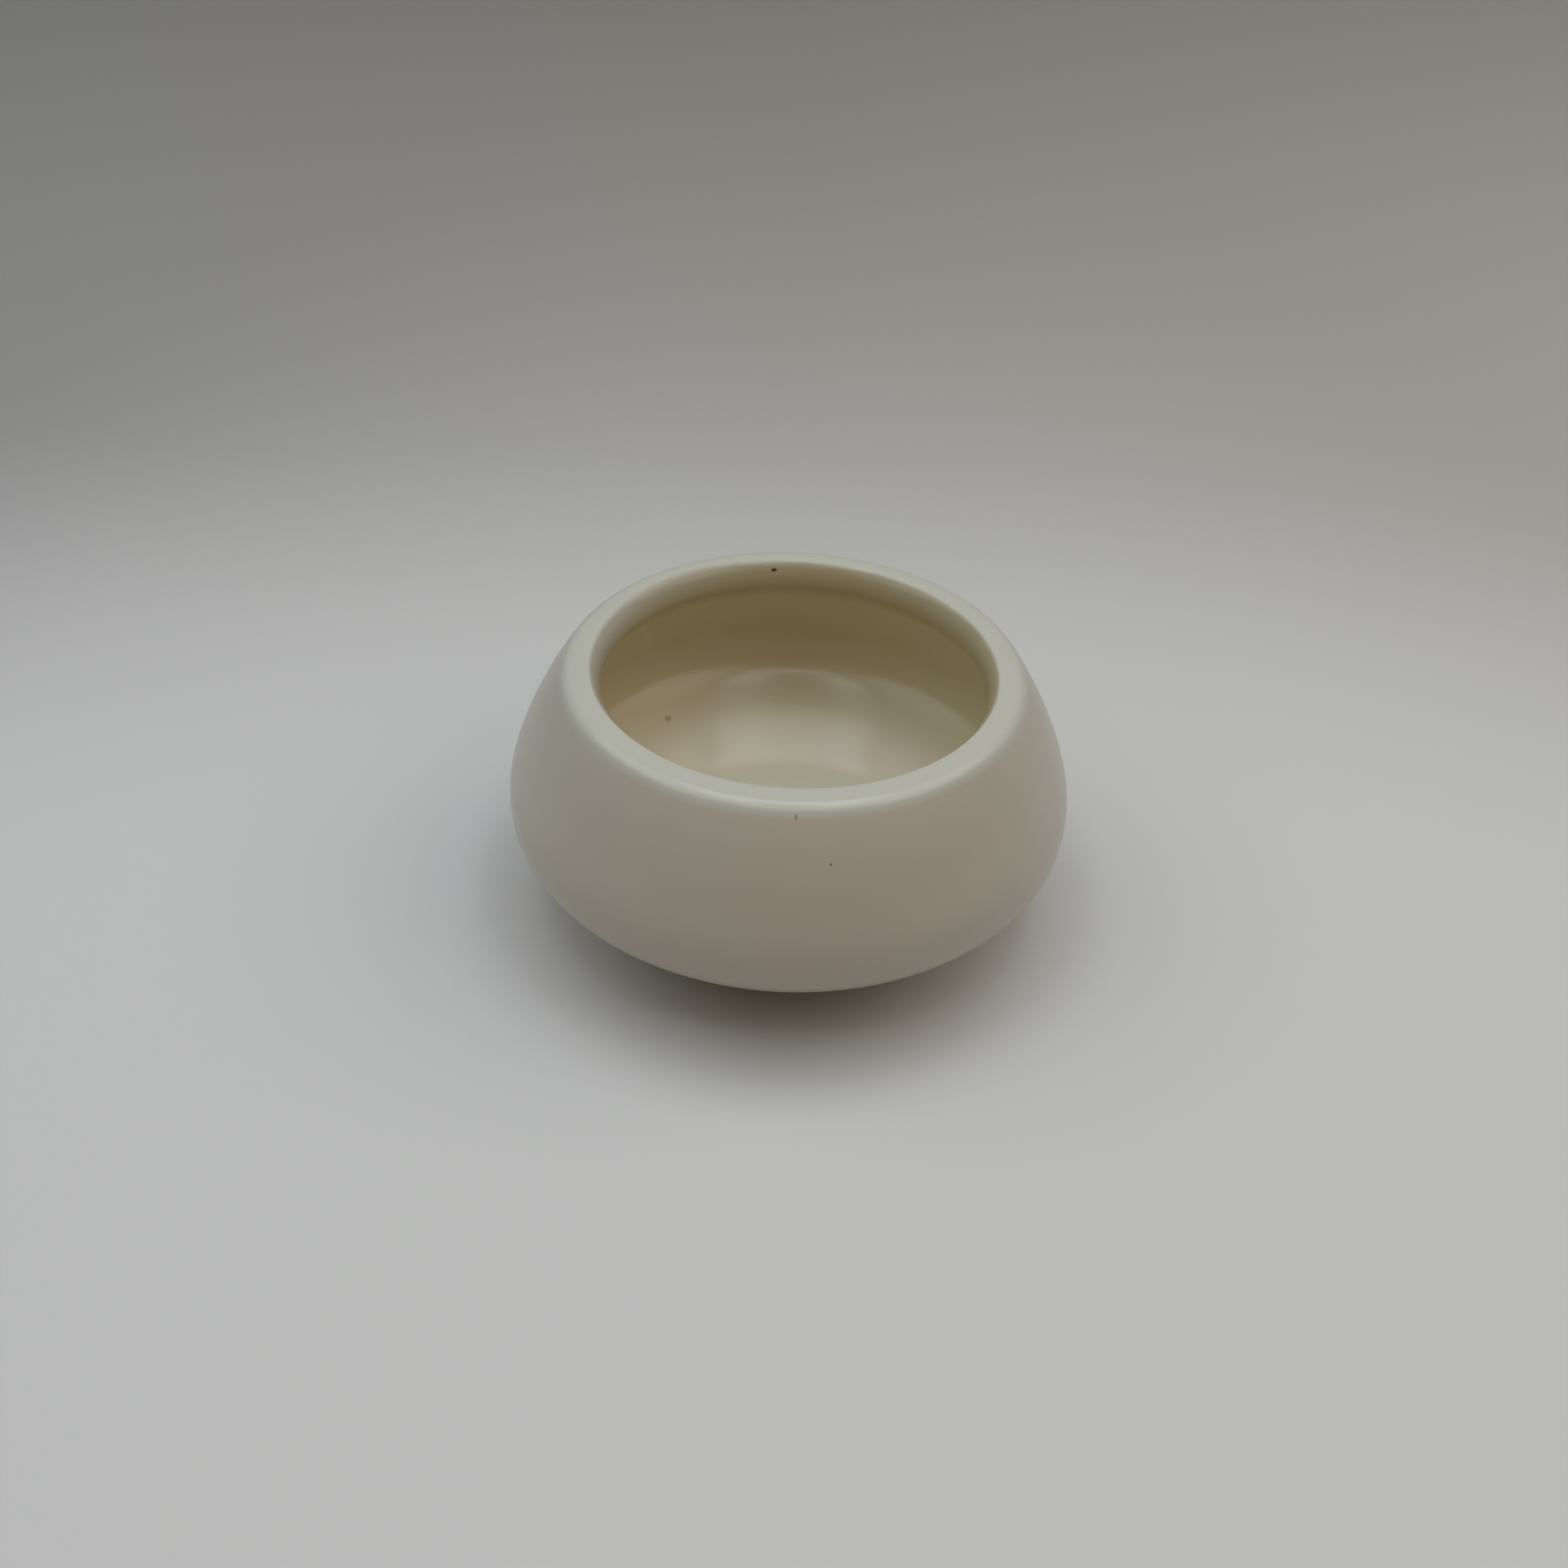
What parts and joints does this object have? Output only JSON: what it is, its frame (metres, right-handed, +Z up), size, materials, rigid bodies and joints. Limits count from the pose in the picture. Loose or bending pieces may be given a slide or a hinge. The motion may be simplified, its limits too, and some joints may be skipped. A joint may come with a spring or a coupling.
{
  "type": "decorative bowl",
  "caption": "Small round ceramic bowl, its wide belly drawn in to a thick rounded lip, with a satin ivory outside, a glossy cream inside and a bare clay foot ring.",
  "frame": {"origin": "centre of the foot ring, on the plane that the bowl stands on", "axes": "+Z up along the bowl's turning axis; X and Y lie in the standing plane and are alike, because the bowl is round"},
  "size_m": [0.12, 0.12, 0.0616],
  "materials": {
    "bare_clay": "bare fired clay, matt and slightly grainy",
    "ivory_satin_glaze": "smooth satin ivory glaze",
    "cream_gloss_glaze": "smooth glossy cream glaze"
  },
  "bodies": {
    "root": {"clay_body": "bare_clay", "foot_ring": "bare_clay", "outer_glaze": "ivory_satin_glaze", "liner_glaze": "cream_gloss_glaze"}
  },
  "joints": []
}
